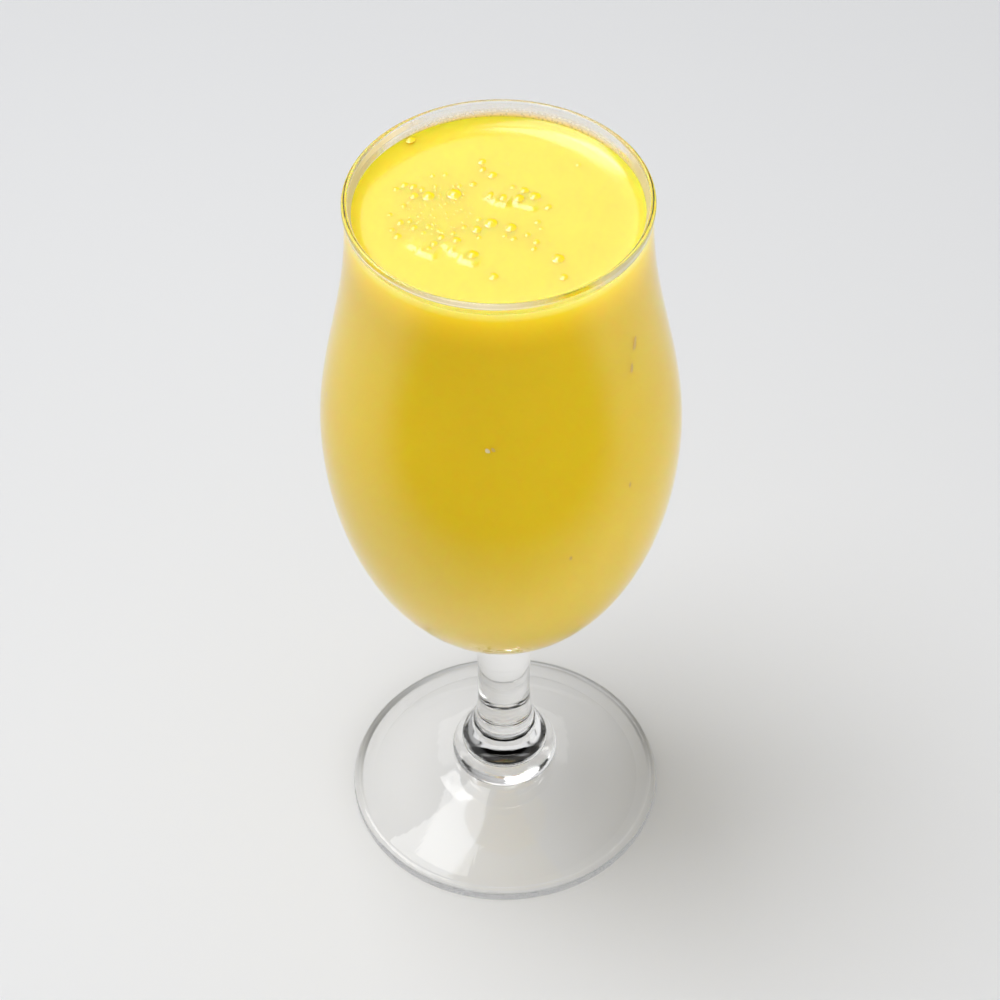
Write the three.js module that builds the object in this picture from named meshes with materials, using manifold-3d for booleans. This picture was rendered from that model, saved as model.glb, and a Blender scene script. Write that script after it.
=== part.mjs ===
// A mango lassi in a stemmed tulip glass.
// Sizes are millimetres. +Z is up, the glass stands on Z = 0 and its axis is the Z axis.

import * as THREE from 'three';
import { mergeVertices } from 'three/addons/utils/BufferGeometryUtils.js';
import Module from 'manifold-3d';

// Bowl of the glass, outside
const HEIGHT = 180;
const RIM_RADIUS = 30.6;
const RIM_BEAD = 0.65; // radius of the fire-polished lip
const LIP_EASE = 0.8; // how far above the neck its upright run lasts
const LIP_LEAN = new THREE.Vector2(0.12, 0.5); // how the lip leans out just below its bead
const NECK_RADIUS = 30.25;
const NECK_HEIGHT = 177.4;
const NECK_EASE = 24; // how far below the neck its upright run lasts
const BELLY_RADIUS = 37.5;
const BELLY_HEIGHT = 120;
const BELLY_EASE = 18; // how far above the belly its upright run lasts
const BOWL_DEPTH = 61.3; // from the belly down to the point of the bowl's ellipse
const BOWL_ROOT_RADIUS = 10.5; // where the ellipse runs out into the stem

// Inside of the bowl
const WALL = 1.4;
const INNER_DEPTH = 56; // from the belly down to the inner bottom, which is thick

// Stem with its shoulder, and the collar below it
const STEM_RADIUS = 5.9;
const STEM_WAIST = 35.7; // height of the thinnest place
const STEM_EASE = 8.7; // how far below the waist the stem's upright run lasts
const STEM_ROOT_EASE = 14; // and how far above it
const ROOT_FILLET = 4.5;
const SHOULDER_RADIUS = 9.8;
const SHOULDER_EASE = 2; // how far above the collar the shoulder's upright run lasts
const SHOULDER_TOP_RADIUS = 7.5;
const SHOULDER_TOP = 22.6;
const SHOULDER_TAPER = new THREE.Vector2(-0.95, 1.7); // how its top leans in, below and above
const COLLAR_RADIUS = 12;
const COLLAR_HEIGHT = 13.5; // of its widest place
const COLLAR_ROUND = new THREE.Vector2(2.8, 3.1);
const COLLAR_START = -60; // degrees
const COLLAR_END = 78;
const COLLAR_TOP = 16.7;

// Foot
const FOOT_RADIUS = 35.45;
const FOOT_CORNER = 0.7; // radius of the lower edge
const BEAD_HEIGHT = 1.5; // where the upper edge begins to round over
const BEAD_ROUND = new THREE.Vector2(1.3, 1.4);
const BEAD_END = 125; // degrees
const CONE_TOP_RADIUS = 11.9;
const CONE_TOP = 10.6;
const FOOT_SAG = 0.8; // how far the foot's upper face dips below a straight cone
const BEARING_RADIUS = 30.5; // inner edge of the flat ring that the glass stands on
const FOOT_HOLLOW = 7.9; // rise of the underside at its middle

// Drink
const LEVEL = 175.5;
const WALL_GAP = 0.3;
const MENISCUS_RISE = 1.4;
const MENISCUS_REACH = 2.4; // distance from the wall over which the rise drops to about a third
const MENISCUS_RINGS = [0, 1, 2.5, 5, 9];

// Bubbles that stand on the drink, in the rafts they gather in.
// Each is its place across, its place towards the back and its diameter.
const BUBBLE_RAFTS = {
	leftRing: [
		[-18.5, 9.5, 1.7], [-17, 9, 1.7], [-16.5, 6.5, 2], [-14, 6, 2.7], [-8.5, 6.5, 3.2], [-5, 9.5, 1.7],
		[-19, -1.5, 1.7], [-16.5, -3, 1.7], [-19.5, -5.5, 1.9], [-11, -6, 1.7], [-12.5, -8, 1.7],
	],
	frontRow: [[-8.5, -7, 2], [-5, -11.5, 2.6]],
	backChain: [[-3, 16.5, 2], [-3, 14, 1.7], [-1, 12.5, 2.2]],
	middleRow: [[-1.5, 6, 1.9], [1, 5, 2.2], [4, 5, 2.2], [7, 5.5, 2.6], [5, 7.5, 2], [9.5, 2.5, 1.7]],
	centre: [[-1.5, -2, 3], [-4.5, -4, 2.2], [2.5, -3.5, 2.6]],
	singles: [[11.5, -12.5, 2.7], [12.5, -18, 2], [-1, -17.5, 2.2]],
};
const BUBBLE_RISE = 0.11; // how high a bubble stands, in diameters
const BUBBLE_SINK = 0.02; // how deep its widest place lies
const BUBBLE_SIDES = 6;
const BUBBLE_BANDS = 4;

// Fineness of the turned surfaces
const AROUND = 60;
const BOWL_STEPS = 9;
const NECK_STEPS = 6;
const LIP_STEPS = 3;
const ROUND_STEPS = 6; // of an edge that is rounded over
const STEM_STEPS = 5;
const FOOT_STEPS = 4;
const WELD = 1e-4;

const wasm = await Module();
wasm.setup();

const at = (radius, height) => new THREE.Vector2(radius, height);

function bend(steps, start, control, otherControl, end) {
	return new THREE.CubicBezierCurve(start, control, otherControl, end).getPoints(steps);
}

function ellipse(steps, centre, across, up, startAngle, endAngle) {
	const clockwise = endAngle < startAngle;
	const curve = new THREE.EllipseCurve(centre.x, centre.y, across, up, startAngle, endAngle, clockwise);
	return curve.getPoints(steps);
}

// Joins the stretches of an outline and drops the points that they share
function outline(...stretches) {
	const points = [];
	for (const point of stretches.flat()) {
		const last = points.at(-1);
		if (!last || last.distanceTo(point) > WELD) points.push(point);
	}
	return points;
}

// Welds shared corners and drops the triangles that a pole pinches shut
function welded(geometry) {
	geometry.deleteAttribute('normal');
	geometry.deleteAttribute('uv');
	const merged = mergeVertices(geometry, WELD);
	const corners = [...merged.index.array];
	const kept = [];
	for (let i = 0; i < corners.length; i += 3) {
		const triangle = corners.slice(i, i + 3);
		if (new Set(triangle).size === 3) kept.push(...triangle);
	}
	merged.setIndex(kept);
	return merged;
}

function turned(profile) {
	const geometry = new THREE.LatheGeometry(profile, AROUND);
	geometry.rotateX(Math.PI / 2);
	return welded(geometry);
}

function toSolid(geometry) {
	const vertProperties = new Float32Array(geometry.attributes.position.array);
	const triVerts = new Uint32Array(geometry.index.array);
	return new wasm.Manifold(new wasm.Mesh({ numProp: 3, vertProperties, triVerts }));
}

function toGeometry(solid) {
	const mesh = solid.getMesh();
	const geometry = new THREE.BufferGeometry();
	geometry.setAttribute('position', new THREE.Float32BufferAttribute(mesh.vertProperties, 3));
	geometry.setIndex([...mesh.triVerts]);
	return geometry;
}

// Bowl wall from the belly to the neck, set in from the outside by a distance
function neckSide(steps, inset) {
	const belly = BELLY_RADIUS - inset;
	const neck = NECK_RADIUS - inset;
	return bend(
		steps,
		at(belly, BELLY_HEIGHT),
		at(belly, BELLY_HEIGHT + BELLY_EASE),
		at(neck, NECK_HEIGHT - NECK_EASE),
		at(neck, NECK_HEIGHT),
	);
}

// Bowl wall from an angle below the belly up to the belly
function bellySide(steps, inset, depth, startAngle) {
	return ellipse(steps, at(0, BELLY_HEIGHT), BELLY_RADIUS - inset, depth, startAngle, 0);
}

// The foot: hollow underneath, a flat ring to stand on, a beaded edge and a shallow cone
function footProfile() {
	const underside = bend(
		FOOT_STEPS,
		at(0, FOOT_HOLLOW),
		at(BEARING_RADIUS / 3, FOOT_HOLLOW),
		at(BEARING_RADIUS * 2 / 3, FOOT_HOLLOW / 2),
		at(BEARING_RADIUS, 0),
	);
	const corner = ellipse(
		ROUND_STEPS,
		at(FOOT_RADIUS - FOOT_CORNER, FOOT_CORNER),
		FOOT_CORNER,
		FOOT_CORNER,
		-Math.PI / 2,
		0,
	);
	const bead = ellipse(
		ROUND_STEPS,
		at(FOOT_RADIUS - BEAD_ROUND.x, BEAD_HEIGHT),
		BEAD_ROUND.x,
		BEAD_ROUND.y,
		0,
		THREE.MathUtils.degToRad(BEAD_END),
	);
	const coneFoot = bead.at(-1);
	const coneTop = at(CONE_TOP_RADIUS, CONE_TOP);
	const dip = (share) => coneFoot.clone().lerp(coneTop, share).sub(at(0, FOOT_SAG));
	const cone = bend(FOOT_STEPS, coneFoot, dip(1 / 3), dip(2 / 3), coneTop);
	return [...underside, ...corner, ...bead, ...cone];
}

// The pressed collar, the shoulder over it, and the stem up to the root of the bowl
function stemProfile(rootAngle) {
	const collar = ellipse(
		ROUND_STEPS,
		at(COLLAR_RADIUS - COLLAR_ROUND.x, COLLAR_HEIGHT),
		COLLAR_ROUND.x,
		COLLAR_ROUND.y,
		THREE.MathUtils.degToRad(COLLAR_START),
		THREE.MathUtils.degToRad(COLLAR_END),
	);
	const shoulderTop = at(SHOULDER_TOP_RADIUS, SHOULDER_TOP);
	const shoulder = bend(
		STEM_STEPS,
		at(SHOULDER_RADIUS, COLLAR_TOP),
		at(SHOULDER_RADIUS, COLLAR_TOP + SHOULDER_EASE),
		shoulderTop.clone().sub(SHOULDER_TAPER),
		shoulderTop,
	);
	const lower = bend(
		STEM_STEPS,
		shoulderTop,
		shoulderTop.clone().add(SHOULDER_TAPER),
		at(STEM_RADIUS, STEM_WAIST - STEM_EASE),
		at(STEM_RADIUS, STEM_WAIST),
	);
	const root = bellySide(1, 0, BOWL_DEPTH, rootAngle)[0];
	const slope = at(-BELLY_RADIUS * Math.sin(rootAngle), BOWL_DEPTH * Math.cos(rootAngle)).normalize();
	const upper = bend(
		STEM_STEPS,
		at(STEM_RADIUS, STEM_WAIST),
		at(STEM_RADIUS, STEM_WAIST + STEM_ROOT_EASE),
		root.clone().sub(slope.multiplyScalar(ROOT_FILLET)),
		root,
	);
	return [...collar, ...shoulder, ...lower, ...upper];
}

// The lip turns out a little and is melted round
function lipProfile() {
	const lip = at(RIM_RADIUS, HEIGHT - RIM_BEAD);
	const turnedOut = bend(
		LIP_STEPS,
		at(NECK_RADIUS, NECK_HEIGHT),
		at(NECK_RADIUS, NECK_HEIGHT + LIP_EASE),
		lip.clone().sub(LIP_LEAN),
		lip,
	);
	const bead = ellipse(ROUND_STEPS, at(RIM_RADIUS - RIM_BEAD, lip.y), RIM_BEAD, RIM_BEAD, 0, Math.PI);
	return [...turnedOut, ...bead];
}

// Foot, stem and bowl are one piece of glass
function glassGeometry() {
	const rootAngle = -Math.acos(BOWL_ROOT_RADIUS / BELLY_RADIUS);
	return turned(outline(
		footProfile(),
		stemProfile(rootAngle),
		bellySide(BOWL_STEPS, 0, BOWL_DEPTH, rootAngle),
		neckSide(NECK_STEPS, 0),
		lipProfile(),
		neckSide(NECK_STEPS, WALL).reverse(),
		bellySide(BOWL_STEPS, WALL, INNER_DEPTH, -Math.PI / 2).reverse(),
	));
}

// The drink fills the bowl to its level, climbs a little at the wall and carries the bubbles
function lassiGeometry() {
	const inset = WALL + WALL_GAP;
	const edge = NECK_RADIUS - inset;
	const surface = MENISCUS_RINGS.map((fromWall) => (
		at(edge - fromWall, LEVEL + MENISCUS_RISE * Math.exp(-fromWall / MENISCUS_REACH))
	));
	const body = turned(outline(
		bellySide(BOWL_STEPS, inset, INNER_DEPTH - WALL_GAP, -Math.PI / 2),
		neckSide(NECK_STEPS, inset).filter((point) => point.y < LEVEL),
		surface,
		[at(0, LEVEL)],
	));
	let solid = toSolid(body);
	for (const [across, back, diameter] of Object.values(BUBBLE_RAFTS).flat()) {
		const bubble = new THREE.SphereGeometry(diameter / 2, BUBBLE_SIDES, BUBBLE_BANDS);
		bubble.rotateX(Math.PI / 2);
		bubble.scale(1, 1, 2 * BUBBLE_RISE);
		bubble.translate(across, back, LEVEL - BUBBLE_SINK);
		solid = solid.add(toSolid(welded(bubble)));
	}
	return toGeometry(solid);
}

const clearGlass = new THREE.MeshStandardMaterial({
	color: 0xeef1f0,
	roughness: 0.05,
	metalness: 0,
	transparent: true,
	opacity: 0.35,
});
const mangoLassi = new THREE.MeshStandardMaterial({ color: 0xf6d531, roughness: 0.25, metalness: 0 });

function part(name, geometry, material) {
	const mesh = new THREE.Mesh(geometry, material);
	mesh.name = name;
	return mesh;
}

const group = new THREE.Group();
group.add(part('glass', glassGeometry(), clearGlass));
group.add(part('lassi', lassiGeometry(), mangoLassi));

export default group;
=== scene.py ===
import math

import bpy
import numpy as np
from mathutils import Matrix, Vector


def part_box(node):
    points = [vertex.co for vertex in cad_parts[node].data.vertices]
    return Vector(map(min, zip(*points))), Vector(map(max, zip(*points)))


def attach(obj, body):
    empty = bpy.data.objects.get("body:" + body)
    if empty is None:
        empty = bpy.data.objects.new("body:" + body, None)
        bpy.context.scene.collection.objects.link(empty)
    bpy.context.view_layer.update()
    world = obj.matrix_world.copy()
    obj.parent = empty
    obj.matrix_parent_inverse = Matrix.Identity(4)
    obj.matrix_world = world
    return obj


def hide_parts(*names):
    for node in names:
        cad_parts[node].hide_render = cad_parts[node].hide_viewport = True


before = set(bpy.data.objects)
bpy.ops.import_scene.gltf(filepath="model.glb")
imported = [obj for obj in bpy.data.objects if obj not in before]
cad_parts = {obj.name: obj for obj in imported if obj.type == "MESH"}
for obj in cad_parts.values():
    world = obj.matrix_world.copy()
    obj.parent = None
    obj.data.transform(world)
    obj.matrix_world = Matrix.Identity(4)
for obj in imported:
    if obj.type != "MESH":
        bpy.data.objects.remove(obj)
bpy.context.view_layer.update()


# Glass
# A stemmed tulip glass in one piece of clear soda-lime glass. Foot, collar and stem are pressed in a
# mould, the bowl is blown, and the rim is melted round in a flame. All of it is turned about one axis.
MM = 0.001
glass_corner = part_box("glass")[1]
HEIGHT = glass_corner.z / MM
BELLY_RADIUS = glass_corner.x / MM
RIM_RADIUS = 30.6
RIM_BEAD = 0.65
LIP_EASE = 0.8
LIP_LEAN = (0.12, 0.5)
NECK_RADIUS = 30.25
NECK_HEIGHT = HEIGHT - 2.6
NECK_EASE = 24
BELLY_HEIGHT = 120
BELLY_EASE = 18
BOWL_DEPTH = 61.3
BOWL_ROOT_RADIUS = 10.5
WALL = 1.4
INNER_DEPTH = 56
STEM_RADIUS = 5.9
STEM_WAIST = 35.7
STEM_EASE = 8.7
STEM_ROOT_EASE = 14
ROOT_FILLET = 4.5
SHOULDER_RADIUS = 9.8
SHOULDER_EASE = 2
SHOULDER_TOP = (7.5, 22.6)
SHOULDER_TAPER = (-0.95, 1.7)
COLLAR_RADIUS = 12
COLLAR_HEIGHT = 13.5
COLLAR_ROUND = (2.8, 3.1)
COLLAR_START = -60
COLLAR_END = 78
COLLAR_TOP = 16.7
FOOT_RADIUS = 35.45
FOOT_CORNER = 0.7
BEAD_HEIGHT = 1.5
BEAD_ROUND = (1.3, 1.4)
BEAD_END = 125
CONE_TOP = (11.9, 10.6)
FOOT_SAG = 0.8
BEARING_RADIUS = 30.5
FOOT_HOLLOW = 7.9
GLASS_SEGMENTS = 256
NECK_STEPS = 40
BOWL_STEPS = 48
ROOT_STEPS = 200
LIP_STEPS = 8
RIM_STEPS = 20
FOOT_STEPS = 24
CORNER_STEPS = 8
BEAD_STEPS = 16
COLLAR_STEPS = 24
SHOULDER_STEPS = 16
STEM_STEPS = 20


def bend(steps, start, control, other_control, end):
    """Points of a cubic Bezier curve."""
    share = np.linspace(0, 1, steps + 1)[:, None]
    rest = 1 - share
    first_half = rest ** 3 * np.array(start) + 3 * rest ** 2 * share * np.array(control)
    second_half = 3 * rest * share ** 2 * np.array(other_control) + share ** 3 * np.array(end)
    return first_half + second_half


def arc(steps, centre, across, up, first_degrees, last_degrees):
    """Points of part of an ellipse."""
    angle = np.radians(np.linspace(first_degrees, last_degrees, steps + 1))
    return np.stack([centre[0] + across * np.cos(angle), centre[1] + up * np.sin(angle)], axis=1)


def joined(*stretches):
    """One outline from stretches that meet, without the points that they share."""
    points = np.concatenate(stretches)
    step = np.linalg.norm(np.diff(points, axis=0), axis=1)
    return points[np.concatenate([[True], step > 1e-4])]


def neck_side(steps, inset):
    """The bowl's wall from the belly to the neck, set in from the outside."""
    belly = BELLY_RADIUS - inset
    neck = NECK_RADIUS - inset
    lower = (belly, BELLY_HEIGHT + BELLY_EASE)
    upper = (neck, NECK_HEIGHT - NECK_EASE)
    return bend(steps, (belly, BELLY_HEIGHT), lower, upper, (neck, NECK_HEIGHT))


def belly_side(steps, inset, depth, first_degrees):
    """The bowl's wall from an angle below the belly up to the belly."""
    return arc(steps, (0, BELLY_HEIGHT), BELLY_RADIUS - inset, depth, first_degrees, 0)


def lip_profile():
    """The lip turns out a little and is melted round."""
    lip_height = HEIGHT - RIM_BEAD
    flare = bend(
        LIP_STEPS,
        (NECK_RADIUS, NECK_HEIGHT),
        (NECK_RADIUS, NECK_HEIGHT + LIP_EASE),
        (RIM_RADIUS - LIP_LEAN[0], lip_height - LIP_LEAN[1]),
        (RIM_RADIUS, lip_height),
    )
    bead = arc(RIM_STEPS, (RIM_RADIUS - RIM_BEAD, lip_height), RIM_BEAD, RIM_BEAD, 0, 180)
    return joined(flare, bead)


def foot_profile():
    """Hollow underside, a flat ring to stand on, a beaded edge and a shallow cone."""
    third = BEARING_RADIUS / 3
    underside = bend(
        FOOT_STEPS,
        (0, FOOT_HOLLOW),
        (third, FOOT_HOLLOW),
        (2 * third, FOOT_HOLLOW / 2),
        (3 * third, 0),
    )
    corner_middle = (FOOT_RADIUS - FOOT_CORNER, FOOT_CORNER)
    corner = arc(CORNER_STEPS, corner_middle, FOOT_CORNER, FOOT_CORNER, -90, 0)
    bead = arc(BEAD_STEPS, (FOOT_RADIUS - BEAD_ROUND[0], BEAD_HEIGHT), *BEAD_ROUND, 0, BEAD_END)
    cone_foot = bead[-1]
    cone = np.array(CONE_TOP) - cone_foot
    dip = np.array((0, FOOT_SAG))
    upper_face = bend(
        FOOT_STEPS,
        cone_foot,
        cone_foot + cone / 3 - dip,
        cone_foot + cone * 2 / 3 - dip,
        CONE_TOP,
    )
    return joined(underside, corner, bead, upper_face)


def stem_profile(root_degrees):
    """The pressed collar, the shoulder over it, and the stem up to the root of the bowl."""
    collar_middle = (COLLAR_RADIUS - COLLAR_ROUND[0], COLLAR_HEIGHT)
    collar = arc(COLLAR_STEPS, collar_middle, *COLLAR_ROUND, COLLAR_START, COLLAR_END)
    shoulder_top = np.array(SHOULDER_TOP)
    shoulder = bend(
        SHOULDER_STEPS,
        (SHOULDER_RADIUS, COLLAR_TOP),
        (SHOULDER_RADIUS, COLLAR_TOP + SHOULDER_EASE),
        shoulder_top - SHOULDER_TAPER,
        shoulder_top,
    )
    lower = bend(
        STEM_STEPS,
        shoulder_top,
        shoulder_top + SHOULDER_TAPER,
        (STEM_RADIUS, STEM_WAIST - STEM_EASE),
        (STEM_RADIUS, STEM_WAIST),
    )
    root, above_root = belly_side(ROOT_STEPS, 0, BOWL_DEPTH, root_degrees)[:2]
    slope = (above_root - root) / np.linalg.norm(above_root - root)
    upper = bend(
        STEM_STEPS,
        (STEM_RADIUS, STEM_WAIST),
        (STEM_RADIUS, STEM_WAIST + STEM_ROOT_EASE),
        root - slope * ROOT_FILLET,
        root,
    )
    return joined(collar, shoulder, lower, upper)


def glass_profile():
    """The whole outline, from under the foot, up the outside and down the inside of the bowl."""
    root_degrees = -math.degrees(math.acos(BOWL_ROOT_RADIUS / BELLY_RADIUS))
    return joined(
        foot_profile(),
        stem_profile(root_degrees),
        belly_side(BOWL_STEPS, 0, BOWL_DEPTH, root_degrees),
        neck_side(NECK_STEPS, 0),
        lip_profile(),
        neck_side(NECK_STEPS, WALL)[::-1],
        belly_side(BOWL_STEPS, WALL, INNER_DEPTH, -90)[::-1],
    )


def add(tree, kind, links=None, **settings):
    """Adds a node with its settings. Each link is a value or another node's output."""
    made = tree.nodes.new(kind)
    for name, value in settings.items():
        setattr(made, name, value)
    for key, value in (links or {}).items():
        if isinstance(value, bpy.types.NodeSocket):
            tree.links.new(value, made.inputs[key])
        else:
            made.inputs[key].default_value = value
    return made


def turning_tree():
    """Geometry Nodes that turn an outline about the z axis, as on a lathe."""
    tree = bpy.data.node_groups.new("turned_on_axis", "GeometryNodeTree")
    tree.interface.new_socket("Outline", in_out="INPUT", socket_type="NodeSocketGeometry")
    tree.interface.new_socket("Segments", in_out="INPUT", socket_type="NodeSocketInt")
    tree.interface.new_socket("Crease", in_out="INPUT", socket_type="NodeSocketFloat")
    tree.interface.new_socket("Finish", in_out="INPUT", socket_type="NodeSocketMaterial")
    tree.interface.new_socket("Turned", in_out="OUTPUT", socket_type="NodeSocketGeometry")
    given = add(tree, "NodeGroupInput").outputs
    size = add(tree, "GeometryNodeAttributeDomainSize", {0: given["Outline"]})
    columns = add(tree, "ShaderNodeMath", {0: given["Segments"], 1: 1.0}, operation="ADD").outputs[0]
    counts = {"Vertices X": size.outputs["Point Count"], "Vertices Y": columns}
    sheet = add(tree, "GeometryNodeMeshGrid", counts)
    index = add(tree, "GeometryNodeInputIndex").outputs[0]
    share = add(tree, "ShaderNodeMath", {0: index, 1: columns}, operation="DIVIDE").outputs[0]
    row = add(tree, "ShaderNodeMath", {0: share}, operation="FLOOR").outputs[0]
    column = add(tree, "ShaderNodeMath", {0: index, 1: columns}, operation="MODULO").outputs[0]
    turn = add(tree, "ShaderNodeMath", {0: column, 1: given["Segments"]}, operation="DIVIDE").outputs[0]
    angle = add(tree, "ShaderNodeMath", {0: turn, 1: -2 * math.pi}, operation="MULTIPLY").outputs[0]
    place = add(tree, "GeometryNodeInputPosition").outputs[0]
    on_outline = add(
        tree,
        "GeometryNodeSampleIndex",
        {"Geometry": given["Outline"], "Index": row},
        data_type="FLOAT_VECTOR",
    )
    tree.links.new(place, on_outline.inputs["Value"])
    spun = add(
        tree,
        "ShaderNodeVectorRotate",
        {"Vector": on_outline.outputs["Value"], "Angle": angle},
        rotation_type="Z_AXIS",
    )
    shaped = add(
        tree,
        "GeometryNodeSetPosition",
        {"Geometry": sheet.outputs["Mesh"], "Position": spun.outputs[0]},
    )
    seam_mm = 0.002
    seam = {"Geometry": shaped.outputs[0], "Distance": seam_mm * MM}
    closed = add(tree, "GeometryNodeMergeByDistance", seam)
    edge_angle = add(tree, "GeometryNodeInputMeshEdgeAngle").outputs["Unsigned Angle"]
    soft = add(tree, "ShaderNodeMath", {0: edge_angle, 1: given["Crease"]}, operation="LESS_THAN")
    smooth = add(
        tree,
        "GeometryNodeSetShadeSmooth",
        {"Geometry": closed.outputs[0], "Shade Smooth": soft.outputs[0]},
        domain="EDGE",
    )
    real = add(tree, "GeometryNodeRealizeInstances", {0: smooth.outputs[0]})
    finish = {"Geometry": real.outputs[0], "Material": given["Finish"]}
    finished = add(tree, "GeometryNodeSetMaterial", finish)
    add(tree, "NodeGroupOutput", {"Turned": finished.outputs[0]})
    return tree


def grown(name, mesh, tree, **inputs):
    """A plain mesh object from a Geometry Nodes tree and its named inputs."""
    piece = bpy.data.objects.new(name, mesh)
    bpy.context.scene.collection.objects.link(piece)
    modifier = piece.modifiers.new(tree.name, "NODES")
    modifier.node_group = tree
    for socket in tree.interface.items_tree:
        if socket.in_out == "INPUT" and socket.name in inputs:
            modifier[socket.identifier] = inputs[socket.name]
    shown = piece.evaluated_get(bpy.context.evaluated_depsgraph_get())
    made = bpy.data.meshes.new_from_object(shown)
    piece.modifiers.remove(modifier)
    piece.data = made
    bpy.data.meshes.remove(mesh)
    made.name = name
    made.materials.clear()
    made.materials.append(inputs["Finish"])
    return piece


TURNED = turning_tree()
CREASE_ANGLE = math.radians(35)


def turned(name, profile, segments, material):
    """A piece from an outline in mm, turned about the z axis."""
    outline = bpy.data.meshes.new(name + "_outline")
    outline.from_pydata([(radius * MM, 0, height * MM) for radius, height in profile], [], [])
    return grown(name, outline, TURNED, Segments=segments, Crease=CREASE_ANGLE, Finish=material)


def linear(hex_code):
    """An sRGB hex colour as linear light, with full alpha."""
    parts = [int(hex_code[i:i + 2], 16) / 255 for i in (1, 3, 5)]
    return [p / 12.92 if p <= 0.04045 else ((p + 0.055) / 1.055) ** 2.4 for p in parts] + [1.0]


def clear_soda_lime_glass():
    """Fire-polished glass: sharp reflections, black and white bands in the thick pressed parts, and a
    foot that is a little wavy from the mould, so that what it mirrors has uneven edges. Where light
    grazes it, and in the far edge of the foot, it leaves a shade on the table."""
    material = bpy.data.materials.new("clear_soda_lime_glass")
    material.use_nodes = True
    tree = material.node_tree
    tree.nodes.clear()
    place = add(tree, "ShaderNodeTexCoord").outputs["Object"]
    parts = add(tree, "ShaderNodeSeparateXYZ", {0: place}).outputs
    height = parts["Z"]
    pressed = add(
        tree,
        "ShaderNodeMapRange",
        {
            "Value": height,
            "From Min": CONE_TOP[1] * MM,
            "From Max": BELLY_HEIGHT * MM,
            "To Min": 1.0,
            "To Max": 0.08,
        },
    )
    wave_mm = 14
    wave_height_mm = 0.06
    waves = add(tree, "ShaderNodeTexNoise", {"Vector": place, "Scale": 1 / (wave_mm * MM), "Detail": 1.0})
    wavy = add(
        tree,
        "ShaderNodeBump",
        {"Height": waves.outputs[0], "Strength": pressed.outputs[0], "Distance": wave_height_mm * MM},
    )
    glass = add(
        tree,
        "ShaderNodeBsdfPrincipled",
        {
            "Base Color": linear("#FFFFFF"),
            "Roughness": 0.0,
            "IOR": 1.52,
            "Transmission Weight": 1.0,
            "Normal": wavy.outputs[0],
        },
    )
    grazing = add(tree, "ShaderNodeLayerWeight", {"Blend": 0.5}).outputs["Facing"]
    edge = add(
        tree,
        "ShaderNodeMapRange",
        {"Value": grazing, "From Min": 0.68, "From Max": 1.0},
        interpolation_type="SMOOTHSTEP",
    )
    light_left = add(
        tree,
        "ShaderNodeMix",
        {"Factor": edge.outputs[0], "A": linear("#FFFFFF"), "B": linear("#8C8C88")},
        data_type="RGBA",
    )
    flat_place = add(tree, "ShaderNodeVectorMath", {0: place, 1: (1, 1, 0)}, operation="MULTIPLY")
    radius = add(tree, "ShaderNodeVectorMath", {0: flat_place.outputs[0]}, operation="LENGTH")
    outermost = add(
        tree,
        "ShaderNodeMapRange",
        {
            "Value": radius.outputs["Value"],
            "From Min": (FOOT_RADIUS - BEAD_ROUND[0]) * MM,
            "From Max": (FOOT_RADIUS - FOOT_CORNER) * MM,
        },
    )
    bead_top = BEAD_HEIGHT + BEAD_ROUND[1]
    lowest = add(
        tree,
        "ShaderNodeMapRange",
        {"Value": height, "From Min": 2 * bead_top * MM, "From Max": bead_top * MM},
    )
    shade_starts_mm = -15
    shade_full_mm = 10
    at_back = add(
        tree,
        "ShaderNodeMapRange",
        {"Value": parts["Y"], "From Min": shade_starts_mm * MM, "From Max": shade_full_mm * MM},
    )
    low_edge = {0: outermost.outputs[0], 1: lowest.outputs[0]}
    at_edge = add(tree, "ShaderNodeMath", low_edge, operation="MULTIPLY")
    far_edge = {0: at_edge.outputs[0], 1: at_back.outputs[0]}
    in_bead = add(tree, "ShaderNodeMath", far_edge, operation="MULTIPLY")
    bead_shade = add(
        tree,
        "ShaderNodeMix",
        {"Factor": in_bead.outputs[0], "A": light_left.outputs["Result"], "B": linear("#C4C4C2")},
        data_type="RGBA",
    )
    lets_light_by = add(tree, "ShaderNodeBsdfTransparent", {"Color": bead_shade.outputs["Result"]})
    path = add(tree, "ShaderNodeLightPath").outputs
    light_rays = {0: path["Is Shadow Ray"], 1: path["Is Diffuse Ray"]}
    lit = add(tree, "ShaderNodeMath", light_rays, operation="MAXIMUM")
    both = {0: lit.outputs[0], 1: glass.outputs[0], 2: lets_light_by.outputs[0]}
    mixed = add(tree, "ShaderNodeMixShader", both)
    add(tree, "ShaderNodeOutputMaterial", {"Surface": mixed.outputs[0]})
    return material


glass = turned("tulip_glass", glass_profile(), GLASS_SEGMENTS, clear_soda_lime_glass())
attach(glass, "root")
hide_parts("glass")


# Drink
# A thick, opaque blend of yogurt and ripe mango, poured almost to the rim. It wets the wall, climbs a
# little there, and is lifted into low mounds where rafts of bubbles hold its skin up.
LEVEL = 175.5
MENISCUS_RISE = 1.4
MENISCUS_REACH = 2.4
INTO_WALL = 0.15
DRINK_INSET = WALL - INTO_WALL
DRINK_SEGMENTS = 384
DRINK_STEPS = 40
SURFACE_RINGS = 150
ON_SURFACE = 0.01
SURFACE_DEPTH = 1
SURFACE_LEAST_UPWARD = 0.3
GLOW_DEPTH = 9
GLOW_FALLOFF = 1.6
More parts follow.
